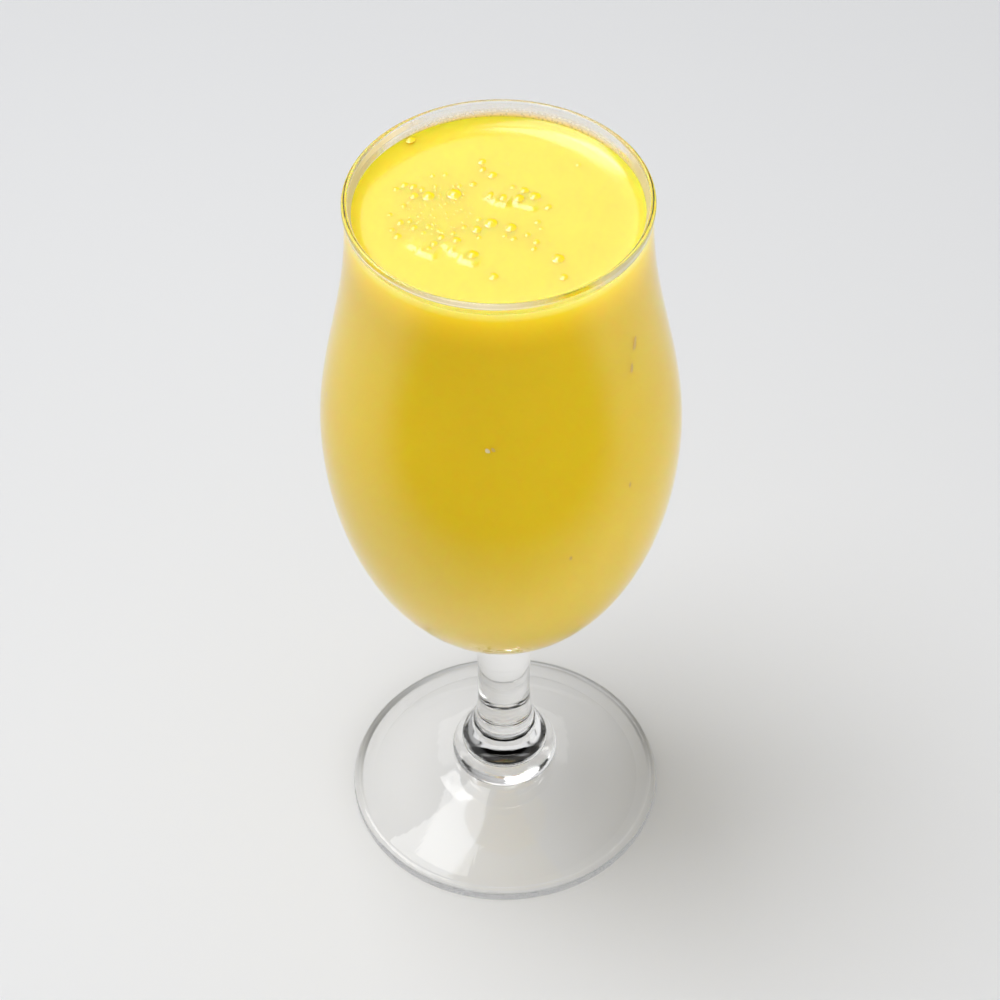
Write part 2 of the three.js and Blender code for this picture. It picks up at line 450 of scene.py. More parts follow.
# Each mound is a ridge between two places, across and towards the back
MOUNDS = [
    ((-16.9, -8.0), (-15.4, -8.9)), ((-14.9, -10.0), (-12.9, -11.0)),
    ((-10.4, -8.0), (-9.3, -9.0)), ((-8.9, -10.1), (-7.4, -11.0)), ((-7.0, -12.2), (-5.0, -13.2)),
    ((-2.0, 5.8), (-0.9, 5.3)), ((-0.5, 4.5), (1.4, 3.7)),
    ((2.5, 5.2), (3.6, 4.7)), ((4.0, 3.8), (6.7, 2.6)),
]
MOUND_HEIGHT = 0.2
MOUND_FRONT = 0.7
MOUND_BACK = 2.0


def meniscus(radius):
    """How far the drink has climbed at a radius, in mm."""
    return MENISCUS_RISE * np.exp(-(NECK_RADIUS - WALL - radius) / MENISCUS_REACH)


def mound_height(across, back, start, end):
    """A ridge that is steep at the front left and runs out gently at the back right."""
    start, end = np.array(start), np.array(end)
    length = np.linalg.norm(end - start)
    along = (end - start) / length
    run = (across - start[0]) * along[0] + (back - start[1]) * along[1]
    aside = (back - start[1]) * along[0] - (across - start[0]) * along[1]
    beyond = run - np.clip(run, 0, length)
    width = np.where(aside > 0, MOUND_BACK, MOUND_FRONT)
    return MOUND_HEIGHT * np.exp(-(aside / width) ** 2 / 2 - (beyond / MOUND_FRONT) ** 2 / 2)


def surface_height(across, back):
    """Height of the drink's surface in mm."""
    height = LEVEL + meniscus(np.hypot(across, back))
    for start, end in MOUNDS:
        height = height + mound_height(across, back, start, end)
    return height


def drink_profile():
    """The drink's outline, from the bottom of the bowl up the wall and in over the surface."""
    edge = NECK_RADIUS - DRINK_INSET
    bowl = belly_side(DRINK_STEPS, DRINK_INSET, INNER_DEPTH + INTO_WALL, -90)
    wall = joined(bowl, neck_side(DRINK_STEPS, DRINK_INSET))
    contact = LEVEL + meniscus(NECK_RADIUS - WALL)
    radii = edge * np.linspace(1, 0, SURFACE_RINGS + 1)
    surface = np.stack([radii, LEVEL + meniscus(np.minimum(radii, NECK_RADIUS - WALL))], axis=1)
    return joined(wall[wall[:, 1] < contact], [(edge, contact)], surface)


def mango_lassi(name, roughness, specular, contact_start, contact_side, contact_colour, painted_glow_strength):
    """Yogurt and mango: light goes a few millimetres in and comes back yellow, so edges glow and shade
    stays warm. Towards the top the colour is painted paler, as painted light, and behind the glass the
    drink there gives off a painted glow in place of the light that the rim leads down the wall. The open
    surface is wet and glossy, but against glass there is hardly any gloss. Where the drink meets the wall
    its colour changes, towards one side, or all round if that is upwards; on the open surface the deeper
    yellow towards one side is painted shade."""
    material = bpy.data.materials.new(name)
    material.use_nodes = True
    tree = material.node_tree
    tree.nodes.clear()
    place = add(tree, "ShaderNodeTexCoord").outputs["Object"]
    cloud_mm = 9
    cloud_sizes = {"Vector": place, "Scale": 1 / (cloud_mm * MM), "Detail": 4.0}
    clouds = add(tree, "ShaderNodeTexNoise", cloud_sizes)
    below = add(
        tree,
        "ShaderNodeMix",
        {"Factor": clouds.outputs[0], "A": linear("#EECC28"), "B": linear("#F1D32E")},
        data_type="RGBA",
    )
    above = add(
        tree,
        "ShaderNodeMix",
        {"Factor": clouds.outputs[0], "A": linear("#FCDC26"), "B": linear("#FDE12A")},
        data_type="RGBA",
    )
    height = add(tree, "ShaderNodeSeparateXYZ", {0: place}).outputs["Z"]
    # painted light: the colour turns paler towards the top, and the same share sets the painted glow
    near_top = add(
        tree,
        "ShaderNodeMapRange",
        {"Value": height, "From Min": (LEVEL - GLOW_DEPTH) * MM, "From Max": LEVEL * MM},
    )
    falloff = {0: near_top.outputs[0], 1: GLOW_FALLOFF}
    painted_top_light = add(tree, "ShaderNodeMath", falloff, operation="POWER").outputs[0]
    colour = add(
        tree,
        "ShaderNodeMix",
        {"Factor": painted_top_light, "A": below.outputs["Result"], "B": above.outputs["Result"]},
        data_type="RGBA",
    )
    # The colour at the wet edge: on the open surface a deeper yellow towards one side, as painted shade
    near_contact = add(
        tree,
        "ShaderNodeMapRange",
        {"Value": height, "From Min": contact_start * MM, "From Max": (LEVEL + MENISCUS_RISE) * MM},
    )
    aside = add(tree, "ShaderNodeVectorMath", {0: place, 1: contact_side}, operation="DOT_PRODUCT")
    side_starts = -0.3 * NECK_RADIUS
    side_full = 0.4 * NECK_RADIUS
    on_side = add(
        tree,
        "ShaderNodeMapRange",
        {"Value": aside.outputs["Value"], "From Min": side_starts * MM, "From Max": side_full * MM},
    )
    touching = {0: near_contact.outputs[0], 1: on_side.outputs[0]}
    contact = add(tree, "ShaderNodeMath", touching, operation="MULTIPLY")
    shade = add(
        tree,
        "ShaderNodeMix",
        {"Factor": contact.outputs[0], "A": colour.outputs["Result"], "B": linear(contact_colour)},
        data_type="RGBA",
    )
    # painted glow: behind the glass the drink gives off a little light of its own near the top
    glow = add(tree, "ShaderNodeMath", {0: painted_top_light, 1: painted_glow_strength}, operation="MULTIPLY").outputs[0]
    drink = add(
        tree,
        "ShaderNodeBsdfPrincipled",
        {
            "Base Color": shade.outputs["Result"],
            "Roughness": roughness,
            "IOR": 1.45,
            "Specular IOR Level": specular,
            "Subsurface Weight": 1.0,
            "Subsurface Radius": (1.3, 0.7, 0.1),
            "Subsurface Scale": 7 * MM,
            "Emission Color": linear("#FFDC5A"),
            "Emission Strength": glow,
        },
    )
    add(tree, "ShaderNodeOutputMaterial", {"Surface": drink.outputs[0]})
    return material


# painted shade: the open surface's wet edge is painted a deeper yellow towards the left and back
drink_surface = mango_lassi(
    "mango_lassi_open_surface",
    roughness=0.13,
    specular=1.0,
    contact_start=LEVEL + 0.3,
    contact_side=(-0.8, 0.6, 0),
    contact_colour="#FCCC20",
    painted_glow_strength=0.0,
)
drink_at_wall = mango_lassi(
    "mango_lassi_behind_glass",
    roughness=0.6,
    specular=0.03,
    contact_start=LEVEL - 0.7,
    contact_side=(0, 0, 1),
    contact_colour="#FAE48C",
    painted_glow_strength=0.11,
)
lassi = turned("mango_lassi", drink_profile(), DRINK_SEGMENTS, drink_at_wall)
mesh = lassi.data
mesh.materials.append(drink_surface)
points = np.empty(len(mesh.vertices) * 3)
mesh.vertices.foreach_get("co", points)
points = points.reshape(-1, 3)
across, back = points[:, 0] / MM, points[:, 1] / MM
radius = np.hypot(across, back)
high_enough = points[:, 2] / MM >= LEVEL - ON_SURFACE
on_surface = high_enough & (radius < NECK_RADIUS - WALL - ON_SURFACE)
points[on_surface, 2] = surface_height(across[on_surface], back[on_surface]) * MM
mesh.vertices.foreach_set("co", points.ravel())
mesh.update()
facing = np.empty(len(mesh.polygons) * 3)
mesh.polygons.foreach_get("normal", facing)
middles = np.empty(len(mesh.polygons) * 3)
mesh.polygons.foreach_get("center", middles)
faces_up = facing[2::3] > SURFACE_LEAST_UPWARD
open_air = faces_up & (middles[2::3] > (LEVEL - SURFACE_DEPTH) * MM)
mesh.polygons.foreach_set("material_index", open_air.astype(np.int32))
mesh.update()
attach(lassi, "root")
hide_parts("lassi")


# Bubbles
# Air beaten in with the yogurt rises and stands on the drink as small domes with a wet skin. They
# gather in rafts, the largest in a ring on the left, with a froth of much finer ones between them.
BUBBLE_RISE = 0.11
BUBBLE_RIM_SINK = 0.01
BUBBLE_STEEPNESS = 4.0
BUBBLE_BOWL = 0.2
BUBBLE_FAR_SIDE = (1.2, 1.6, 0)
FROTH_SEED = 11
FROTH_PER_SQUARE_METRE = 6e5
FROTH_SMALLEST = 0.35
FROTH_LARGEST = 0.9
# Each bubble is its place across, its place towards the back and its diameter
BUBBLE_RAFTS = {
    "left_ring": [
        (-18.6, 9.6, 1.7), (-16.6, 6.3, 2.0), (-13.8, 6.2, 2.8), (-8.7, 6.7, 3.2), (-15.0, 8.2, 1.3),
        (-12.4, 9.1, 1.1), (-10.5, 12.6, 1.4), (-13.0, 12.3, 1.4), (-16.8, 9.1, 1.7), (-20.2, 8.3, 1.4),
        (-18.6, 3.4, 1.3), (-7.7, 9.1, 1.2), (-5.0, 9.6, 1.7), (-21.2, 0.7, 1.2), (-19.2, -1.6, 1.7),
        (-17.3, -1.2, 1.3), (-16.5, -3.1, 1.7), (-20.8, -3.7, 1.2), (-19.7, -5.6, 1.9),
        (-13.7, -2.9, 1.4), (-11.7, -4.0, 1.2), (-11.2, -6.0, 1.7), (-14.7, -4.8, 1.2),
        (-12.6, -8.0, 1.7), (-8.9, -5.0, 1.3), (-6.8, -3.1, 1.3),
    ],
    "front_left": [(-8.3, -7.1, 2.0), (-5.2, -11.3, 2.6), (-13.6, -9.4, 1.3)],
    "back_chain": [(-3.2, 16.4, 2.0), (-3.1, 14.0, 1.7), (-1.2, 12.3, 2.2)],
    "middle_row": [
        (2.8, 8.5, 1.4), (5.0, 7.4, 2.0), (-1.6, 5.9, 1.9), (0.9, 5.2, 2.2), (3.9, 4.9, 2.2),
        (7.0, 5.6, 2.6), (9.7, 2.5, 1.7),
    ],
    "centre": [
        (-3.9, -0.8, 1.4), (-1.6, -2.0, 3.0), (-4.3, -3.8, 2.2), (2.3, -3.4, 2.6), (1.1, -5.7, 1.2),
        (2.8, -6.6, 1.4), (-3.9, -6.2, 1.3),
    ],
    "right": [(7.5, -1.8, 1.4), (8.2, -3.7, 1.2), (5.5, -5.5, 1.4), (7.2, -7.6, 1.6), (6.7, -9.6, 1.4)],
    "singles": [
        (11.3, -12.5, 2.8), (12.3, -17.9, 2.0), (-1.1, -17.4, 2.2), (15.9, 15.1, 1.4), (9.7, -7.5, 0.7),
        (5.8, -15.1, 0.7), (2.3, 15.6, 0.7), (-17.6, 22.1, 2.2),
    ],
}
RAFT_MIDDLE = (-13.5, 1.5)
RAFT_REACH = (8.6, 11.6)


def bubble_tree():
    """Geometry Nodes that stand a dome on each given place and scatter froth over the raft."""
    tree = bpy.data.node_groups.new("bubbles_on_drink", "GeometryNodeTree")
    tree.interface.new_socket("Places", in_out="INPUT", socket_type="NodeSocketGeometry")
    tree.interface.new_socket("Rise", in_out="INPUT", socket_type="NodeSocketFloat")
    tree.interface.new_socket("Raft Middle", in_out="INPUT", socket_type="NodeSocketVector")
    tree.interface.new_socket("Raft Reach", in_out="INPUT", socket_type="NodeSocketVector")
    tree.interface.new_socket("Froth Density", in_out="INPUT", socket_type="NodeSocketFloat")
    tree.interface.new_socket("Froth Smallest", in_out="INPUT", socket_type="NodeSocketFloat")
    tree.interface.new_socket("Froth Largest", in_out="INPUT", socket_type="NodeSocketFloat")
    tree.interface.new_socket("Seed", in_out="INPUT", socket_type="NodeSocketInt")
    tree.interface.new_socket("Finish", in_out="INPUT", socket_type="NodeSocketMaterial")
    tree.interface.new_socket("Bubbles", in_out="OUTPUT", socket_type="NodeSocketGeometry")
    given = add(tree, "NodeGroupInput").outputs

    def low_dome(segments, rings):
        """A blister that meets the drink without an edge, with a shallow bowl under it. It keeps, as an
        attribute, how far each place lies towards the back right, where the skin is given painted shade."""
        ball_sizes = {"Segments": segments, "Rings": rings, "Radius": 0.5}
        ball = add(tree, "GeometryNodeMeshUVSphere", ball_sizes)
        place = add(tree, "GeometryNodeInputPosition").outputs[0]
        parts = add(tree, "ShaderNodeSeparateXYZ", {0: place}).outputs
        depth = add(tree, "ShaderNodeMath", {0: parts["Z"], 1: 2.0}, operation="MULTIPLY").outputs[0]
        steep = {0: depth, 1: BUBBLE_STEEPNESS}
        inward = add(tree, "ShaderNodeMath", steep, operation="POWER").outputs[0]
        rise = add(tree, "ShaderNodeMath", {0: inward, 1: given["Rise"]}, operation="MULTIPLY").outputs[0]
        sunk = {0: parts["Z"], 1: BUBBLE_BOWL}
        bowl = add(tree, "ShaderNodeMath", sunk, operation="MULTIPLY").outputs[0]
        above = add(tree, "ShaderNodeMath", {0: parts["Z"], 1: 0.0}, operation="GREATER_THAN").outputs[0]
        height = add(tree, "ShaderNodeMix", {"Factor": above, "A": bowl, "B": rise}).outputs["Result"]
        flattened = {"X": parts["X"], "Y": parts["Y"], "Z": height}
        low = add(tree, "ShaderNodeCombineXYZ", flattened).outputs[0]
        shaped = add(tree, "GeometryNodeSetPosition", {"Geometry": ball.outputs["Mesh"], "Position": low})
        edge_angle = add(tree, "GeometryNodeInputMeshEdgeAngle").outputs["Unsigned Angle"]
        soft = add(tree, "ShaderNodeMath", {0: edge_angle, 1: CREASE_ANGLE}, operation="LESS_THAN")
        links = {"Geometry": shaped.outputs[0], "Shade Smooth": soft.outputs[0]}
        rounded = add(tree, "GeometryNodeSetShadeSmooth", links, domain="EDGE").outputs[0]
        smooth = add(tree, "GeometryNodeSetShadeSmooth", {"Geometry": rounded}).outputs[0]
        to_far_side = {0: place, 1: BUBBLE_FAR_SIDE}
        painted_shade_side = add(tree, "ShaderNodeVectorMath", to_far_side, operation="DOT_PRODUCT")
        links = {"Geometry": smooth, "Name": "painted_shade_side", "Value": painted_shade_side.outputs["Value"]}
        return add(tree, "GeometryNodeStoreNamedAttribute", links, data_type="FLOAT").outputs[0]

    large_dome = low_dome(segments=24, rings=16)
    fine_dome = low_dome(segments=12, rings=8)
    diameter = add(tree, "GeometryNodeInputNamedAttribute", {"Name": "diameter"}, data_type="FLOAT")
    large = add(
        tree,
        "GeometryNodeInstanceOnPoints",
        {"Points": given["Places"], "Instance": large_dome, "Scale": diameter.outputs["Attribute"]},
    )
    disc = add(tree, "GeometryNodeMeshCircle", {"Vertices": 48, "Radius": 1.0}, fill_type="NGON")
    raft = add(
        tree,
        "GeometryNodeTransform",
        {"Geometry": disc.outputs[0], "Translation": given["Raft Middle"], "Scale": given["Raft Reach"]},
    )
    scattered = add(
        tree,
        "GeometryNodeDistributePointsOnFaces",
        {"Mesh": raft.outputs[0], "Density": given["Froth Density"], "Seed": given["Seed"]},
    )
    fine = add(
        tree,
        "FunctionNodeRandomValue",
        {"Min": given["Froth Smallest"], "Max": given["Froth Largest"], "Seed": given["Seed"]},
        data_type="FLOAT",
    )
    froth = add(
        tree,
        "GeometryNodeInstanceOnPoints",
        {"Points": scattered.outputs["Points"], "Instance": fine_dome},
    )
    tree.links.new(fine.outputs[1], froth.inputs["Scale"])
    both = add(tree, "GeometryNodeJoinGeometry", {0: froth.outputs[0]})
    tree.links.new(large.outputs[0], both.inputs[0])
    real = add(tree, "GeometryNodeRealizeInstances", {0: both.outputs[0]})
    finish = {"Geometry": real.outputs[0], "Material": given["Finish"]}
    finished = add(tree, "GeometryNodeSetMaterial", finish)
    add(tree, "NodeGroupOutput", {"Bubbles": finished.outputs[0]})
    return tree


def bubble_skin():
    """A wet film over air: a bright highlight on the near flank. On the far flank, towards the back
    right, the gloss is turned off, a painted shade that leaves the drink's own deep yellow there."""
    material = bpy.data.materials.new("lassi_bubble_skin")
    material.use_nodes = True
    tree = material.node_tree
    tree.nodes.clear()
    place = add(tree, "ShaderNodeTexCoord").outputs["Object"]
    patch_mm = 3
    patch_sizes = {"Vector": place, "Scale": 1 / (patch_mm * MM), "Detail": 2.0}
    patches = add(tree, "ShaderNodeTexNoise", patch_sizes)
    colour = add(
        tree,
        "ShaderNodeMix",
        {"Factor": patches.outputs[0], "A": linear("#FFDC14"), "B": linear("#FFE628")},
        data_type="RGBA",
    )
    # painted shade: no gloss on the far flank, towards the back right, so it stays deep yellow
    painted_shade_side = add(tree, "ShaderNodeAttribute", attribute_name="painted_shade_side").outputs["Fac"]
    film = add(tree, "ShaderNodeMapRange", {"Value": painted_shade_side, "From Min": 0.45, "From Max": 0.1})
    upwards = add(tree, "ShaderNodeCombineXYZ", {"Z": 1.0})
    skin = add(
        tree,
        "ShaderNodeBsdfPrincipled",
        {
            "Base Color": colour.outputs["Result"],
            "Roughness": 0.6,
            "Specular IOR Level": 0.0,
            "Normal": upwards.outputs[0],
            "Coat Weight": film.outputs[0],
            "Coat Roughness": 0.1,
            "Coat IOR": 2.0,
        },
    )
    add(tree, "ShaderNodeOutputMaterial", {"Surface": skin.outputs[0]})
    return material


bubbles = np.array([bubble for raft in BUBBLE_RAFTS.values() for bubble in raft])
feet = surface_height(bubbles[:, 0], bubbles[:, 1]) - BUBBLE_RIM_SINK
places = bpy.data.meshes.new("bubble_places")
places.from_pydata(np.column_stack([bubbles[:, :2], feet]) * MM, [], [])
diameters = places.attributes.new("diameter", "FLOAT", "POINT")
diameters.data.foreach_set("value", bubbles[:, 2] * MM)
bubbles_piece = grown(
    "lassi_bubbles",
    places,
    bubble_tree(),
    **{
        "Rise": BUBBLE_RISE,
        "Raft Middle": (RAFT_MIDDLE[0] * MM, RAFT_MIDDLE[1] * MM, (LEVEL - BUBBLE_RIM_SINK) * MM),
        "Raft Reach": (RAFT_REACH[0] * MM, RAFT_REACH[1] * MM, 1.0),
        "Froth Density": FROTH_PER_SQUARE_METRE,
        "Froth Smallest": FROTH_SMALLEST * MM,
        "Froth Largest": FROTH_LARGEST * MM,
        "Seed": FROTH_SEED,
        "Finish": bubble_skin(),
    },
)
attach(bubbles_piece, "root")


# Film on the wall
# The drink was poured a little higher and has run back, and left a thin film on the wall above it. At
# the back it breaks up into beige specks towards the rim. It lies unbroken under the lip on the near
# left, painted pale and glowing more as a painted highlight, and on the wall at both sides. All of the
# film gives off a little painted light.
FILM_BOTTOM = LEVEL + 0.4
FILM_TOP = HEIGHT - 0.3
FILM_FADED = HEIGHT - 0.9
FILM_STEPS = 24
UNDER_LIP = (HEIGHT - 1.75, HEIGHT - 1.35)
ABOVE_CONTACT = (LEVEL + MENISCUS_RISE, LEVEL + MENISCUS_RISE + 0.5)
FILM_INTO_WALL = 0.02
FILM_THICK = 0.2
FILM_THIN = 0.03


def film_profile():
    """The film's outline, which follows the inside of the wall and of the rim's bead."""
    height = np.linspace(FILM_BOTTOM, FILM_TOP, FILM_STEPS)
    lip_height = HEIGHT - RIM_BEAD
    above_lip = np.maximum(height - lip_height, 0)
    wall_radii = (NECK_RADIUS - WALL, RIM_RADIUS - 2 * RIM_BEAD)
    wall = np.interp(height, (NECK_HEIGHT, lip_height), wall_radii)
    wall = wall + RIM_BEAD - np.sqrt(RIM_BEAD ** 2 - above_lip ** 2)
    thickness = np.linspace(FILM_THICK ** 0.5, FILM_THIN ** 0.5, FILM_STEPS) ** 2
    against_wall = np.stack([wall + FILM_INTO_WALL, height], axis=1)
    inside = np.stack([wall - thickness, height], axis=1)
    return joined(inside[:1], against_wall, inside[::-1])


def lassi_film():
    """A drying film of lassi: at the back it lets the table show through, more so towards the rim, and
    fine bubbles that burst have left it mottled. Under the lip on the near left it is painted pale and
    glows more, a painted highlight, and all of it has a faint painted glow. At the sides it is a dull
    beige."""
    material = bpy.data.materials.new("lassi_film")
    material.use_nodes = True
    tree = material.node_tree
    tree.nodes.clear()
    place = add(tree, "ShaderNodeTexCoord").outputs["Object"]
    parts = add(tree, "ShaderNodeSeparateXYZ", {0: place}).outputs
    up = add(
        tree,
        "ShaderNodeMapRange",
        {"Value": parts["Z"], "From Min": ABOVE_CONTACT[0] * MM, "From Max": FILM_FADED * MM},
    ).outputs[0]
    colour = add(tree, "ShaderNodeValToRGB", {"Fac": up})
    colour.color_ramp.elements[0].color = linear("#F8DC62")
    colour.color_ramp.elements[1].position = 0.55
    colour.color_ramp.elements[1].color = linear("#EFE4D2")
    fade = add(
        tree,
        "ShaderNodeMapRange",
        {"Value": up, "To Min": 0.8, "To Max": 0.05},
        interpolation_type="SMOOTHSTEP",
    )
    speck_mm = 0.7
    specks = add(
        tree,
        "ShaderNodeTexVoronoi",
        {"Vector": place, "Scale": 1 / (speck_mm * MM), "Randomness": 1.0},
    ).outputs["Distance"]
    hole = add(
        tree,
        "ShaderNodeMapRange",
        {"Value": specks, "From Min": 0.2, "From Max": 0.5, "To Min": 0.6, "To Max": 1.0},
    )

    def towards(direction, starts, full):
        """How far a place lies towards one side, as a share between two parts of the radius."""
        aside = add(tree, "ShaderNodeVectorMath", {0: place, 1: direction}, operation="DOT_PRODUCT")
        limits = {"From Min": starts * NECK_RADIUS * MM, "From Max": full * NECK_RADIUS * MM}
        return add(tree, "ShaderNodeMapRange", {"Value": aside.outputs["Value"], **limits}).outputs[0]

    def band(side, heights):
        """The share of a side that lies above a height."""
        limits = {"From Min": heights[0] * MM, "From Max": heights[1] * MM}
        upwards = add(tree, "ShaderNodeMapRange", {"Value": parts["Z"], **limits}).outputs[0]
        return add(tree, "ShaderNodeMath", {0: side, 1: upwards}, operation="MULTIPLY").outputs[0]

    back = towards((0.3, 0.95, 0), 0.2, 1.0)
    mottled = add(tree, "ShaderNodeMath", {0: hole.outputs[0], 1: back}, operation="MULTIPLY")
    at_back = {0: fade.outputs[0], 1: mottled.outputs[0]}
    alpha = add(tree, "ShaderNodeMath", at_back, operation="MULTIPLY")
    near_left = band(towards((-0.9, -0.44, 0), 0.0, 0.5), UNDER_LIP)
    right = band(towards((1, -0.2, 0), 0.7, 0.9), ABOVE_CONTACT)
    far_left = band(towards((-1, 0.1, 0), 0.75, 0.95), ABOVE_CONTACT)
    sides = add(tree, "ShaderNodeMath", {0: right, 1: far_left}, operation="MAXIMUM").outputs[0]
    lip_share = {0: near_left, 1: far_left}
    painted_lip_glow = add(tree, "ShaderNodeMath", lip_share, operation="SUBTRACT").outputs[0]
    # painted highlight: the film under the lip on the near left is painted pale
    painted_lip_highlight = add(
        tree,
        "ShaderNodeMix",
        {"Factor": near_left, "A": colour.outputs["Color"], "B": linear("#F0E6C8")},
        data_type="RGBA",
    )
    darker = add(
        tree,
        "ShaderNodeMix",
        {"Factor": sides, "A": painted_lip_highlight.outputs["Result"], "B": linear("#D4CBA0")},
        data_type="RGBA",
    )
    with_lip = add(tree, "ShaderNodeMath", {0: alpha.outputs[0], 1: near_left}, operation="MAXIMUM")
    covered = add(tree, "ShaderNodeMath", {0: with_lip.outputs[0], 1: sides}, operation="MAXIMUM")
    # painted glow: the film gives off a little light, more under the lip on the near left
    strength = add(tree, "ShaderNodeMapRange", {"Value": painted_lip_glow, "To Min": 0.08, "To Max": 0.3})
    film = add(
        tree,
        "ShaderNodeBsdfPrincipled",
        {
            "Base Color": darker.outputs["Result"],
            "Roughness": 0.5,
            "Specular IOR Level": 0.2,
            "Emission Color": linear("#F6E6C0"),
            "Emission Strength": strength.outputs[0],
            "Alpha": covered.outputs[0],
        },
    )
    add(tree, "ShaderNodeOutputMaterial", {"Surface": film.outputs[0]})
    return material


film = turned("lassi_film", film_profile(), GLASS_SEGMENTS, lassi_film())
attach(film, "root")


# Specks
# Threads of fruit skin, ground spice and one air bubble that hang in the drink right behind the glass.
# Each is its turn about the axis from the right, its height, length, width and lean, and its tint.
SPECK_DEPTH = 0.12
SPECKS = [
    (-33.8, 156.4, 5.4, 1.0, -14, 0.05),
    (-37.2, 152.0, 3.8, 0.9, -8, 0.05),
    (-45.5, 126.7, 1.6, 0.6, -10, 0.0),
    (-169.0, 133.8, 1.8, 0.7, 0, 0.15),
    (-68.1, 114.1, 1.2, 0.6, 0, 0.02),
    (-94.5, 144.1, 1.8, 0.9, 20, 0.6),
    (-92.6, 144.4, 1.6, 0.7, 20, 0.1),
]


def wall_radius(height):
    """Radius of the drink's outside at a height above the belly."""
    wall = neck_side(DRINK_STEPS, DRINK_INSET)
    return np.interp(height, wall[:, 1], wall[:, 0])


def speck_tree():
    """Geometry Nodes that lay a flat grain on each given place, turned and sized by its attributes."""
    tree = bpy.data.node_groups.new("specks_in_drink", "GeometryNodeTree")
    tree.interface.new_socket("Places", in_out="INPUT", socket_type="NodeSocketGeometry")
    tree.interface.new_socket("Finish", in_out="INPUT", socket_type="NodeSocketMaterial")
    tree.interface.new_socket("Specks", in_out="OUTPUT", socket_type="NodeSocketGeometry")
    given = add(tree, "NodeGroupInput").outputs
    grain = add(tree, "GeometryNodeMeshUVSphere", {"Segments": 16, "Rings": 10, "Radius": 0.5})
    smooth = add(tree, "GeometryNodeSetShadeSmooth", {"Geometry": grain.outputs["Mesh"]})
    turn = add(tree, "GeometryNodeInputNamedAttribute", {"Name": "turn"}, data_type="FLOAT_VECTOR")
    size = add(tree, "GeometryNodeInputNamedAttribute", {"Name": "size"}, data_type="FLOAT_VECTOR")
    laid = add(
        tree,
        "GeometryNodeInstanceOnPoints",
        {"Points": given["Places"], "Instance": smooth.outputs[0], "Scale": size.outputs["Attribute"]},
    )
    tree.links.new(turn.outputs["Attribute"], laid.inputs["Rotation"])
    real = add(tree, "GeometryNodeRealizeInstances", {0: laid.outputs[0]})
    finish = {"Geometry": real.outputs[0], "Material": given["Finish"]}
    finished = add(tree, "GeometryNodeSetMaterial", finish)
    add(tree, "NodeGroupOutput", {"Specks": finished.outputs[0]})
    return tree


def fruit_speck():
    """Wet grains: brown threads that the drink half covers, up to the white of an air bubble."""
    material = bpy.data.materials.new("fruit_speck")
    material.use_nodes = True
    tree = material.node_tree
    tree.nodes.clear()
    tint = add(tree, "ShaderNodeAttribute", attribute_name="tint").outputs["Fac"]
    colour = add(
        tree,
        "ShaderNodeMix",
        {"Factor": tint, "A": linear("#D8B450"), "B": linear("#FFF6D2")},
        data_type="RGBA",
    )
    grain = add(
        tree,
        "ShaderNodeBsdfPrincipled",
        {"Base Color": colour.outputs["Result"], "Roughness": 0.6, "Specular IOR Level": 0.1},
    )
    add(tree, "ShaderNodeOutputMaterial", {"Surface": grain.outputs[0]})
    return material


speck_degrees, speck_height, lengths, widths, lean_degrees, tints = np.array(SPECKS).T
speck_turn = np.radians(speck_degrees)
speck_radius = wall_radius(speck_height)
speck_places = bpy.data.meshes.new("speck_places")
speck_points = [speck_radius * np.cos(speck_turn), speck_radius * np.sin(speck_turn), speck_height]
speck_places.from_pydata(np.column_stack(speck_points) * MM, [], [])
turns = np.column_stack([np.radians(lean_degrees), np.zeros(len(SPECKS)), speck_turn])
sizes = np.column_stack([np.full(len(SPECKS), SPECK_DEPTH), widths, lengths]) * MM
speck_places.attributes.new("turn", "FLOAT_VECTOR", "POINT").data.foreach_set("vector", turns.ravel())
speck_places.attributes.new("size", "FLOAT_VECTOR", "POINT").data.foreach_set("vector", sizes.ravel())
speck_places.attributes.new("tint", "FLOAT", "POINT").data.foreach_set("value", tints)
specks_piece = grown("fruit_specks", speck_places, speck_tree(), Finish=fruit_speck())
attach(specks_piece, "root")


# Floor
# A smooth, matt white table top that the glass stands on. It reaches far beyond the picture and isn't
# part of the object.
FLOOR_REACH = 12.0
MIRRORED_END = -0.05
SEEN_THROUGH_END = -0.35
END_BLUR = -0.15
ALL_ROUND_END = (0.4, 0.6)
floor_mesh = bpy.data.meshes.new("floor")
corners = [(-FLOOR_REACH, -FLOOR_REACH, 0), (FLOOR_REACH, -FLOOR_REACH, 0)]
corners += [(FLOOR_REACH, FLOOR_REACH, 0), (-FLOOR_REACH, FLOOR_REACH, 0)]
floor_mesh.from_pydata(corners, [], [(0, 1, 2, 3)])
floor = bpy.data.objects.new("floor", floor_mesh)
bpy.context.scene.collection.objects.link(floor)


